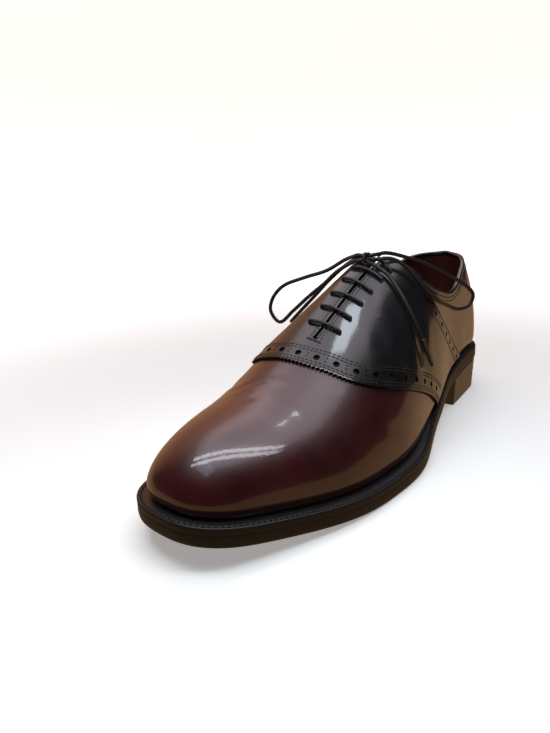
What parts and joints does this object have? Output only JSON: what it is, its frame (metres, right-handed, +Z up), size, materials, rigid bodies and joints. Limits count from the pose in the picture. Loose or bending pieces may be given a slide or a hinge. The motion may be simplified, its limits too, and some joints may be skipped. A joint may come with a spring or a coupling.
{
  "type": "saddle oxford dress shoe, left foot",
  "caption": "Left low lace-up dress shoe: smooth round toe, instep saddle with perforated edges, closed lacing with a bow, stitched welt, leather sole and stacked heel.",
  "frame": {"origin": "bottom centre of the shoe without its free lace, on the floor that it stands on", "axes": "+Z up, +Y towards the heel, so the toe points to -Y; +X towards the outer side of the left foot"},
  "size_m": [0.1092, 0.303, 0.1097],
  "materials": {
    "vamp_leather": "glossy oxblood corrected leather with fine grain",
    "saddle_leather": "glossy black leather with soft creases",
    "lining_leather": "matt dark red lining leather",
    "edge_leather": "inked and waxed black edge",
    "sole_leather": "worn dark brown sole leather, satin",
    "lace_cord": "waxed round black cord",
    "lace_tip": "smooth black film, satin"
  },
  "bodies": {
    "root": {"upper": "vamp_leather", "saddle": "saddle_leather", "back_tab": "saddle_leather", "tongue": "saddle_leather", "insole": "lining_leather", "welt": "edge_leather", "outsole": "sole_leather", "heel": "edge_leather", "lace_bars": "lace_cord", "lace_knot": "lace_cord", "lace_loop_outer": "lace_cord", "lace_loop_inner": "lace_cord", "lace_end_outer": "lace_cord", "lace_end_inner": "lace_cord", "aglet_outer": "lace_tip", "aglet_inner": "lace_tip"}
  },
  "joints": []
}
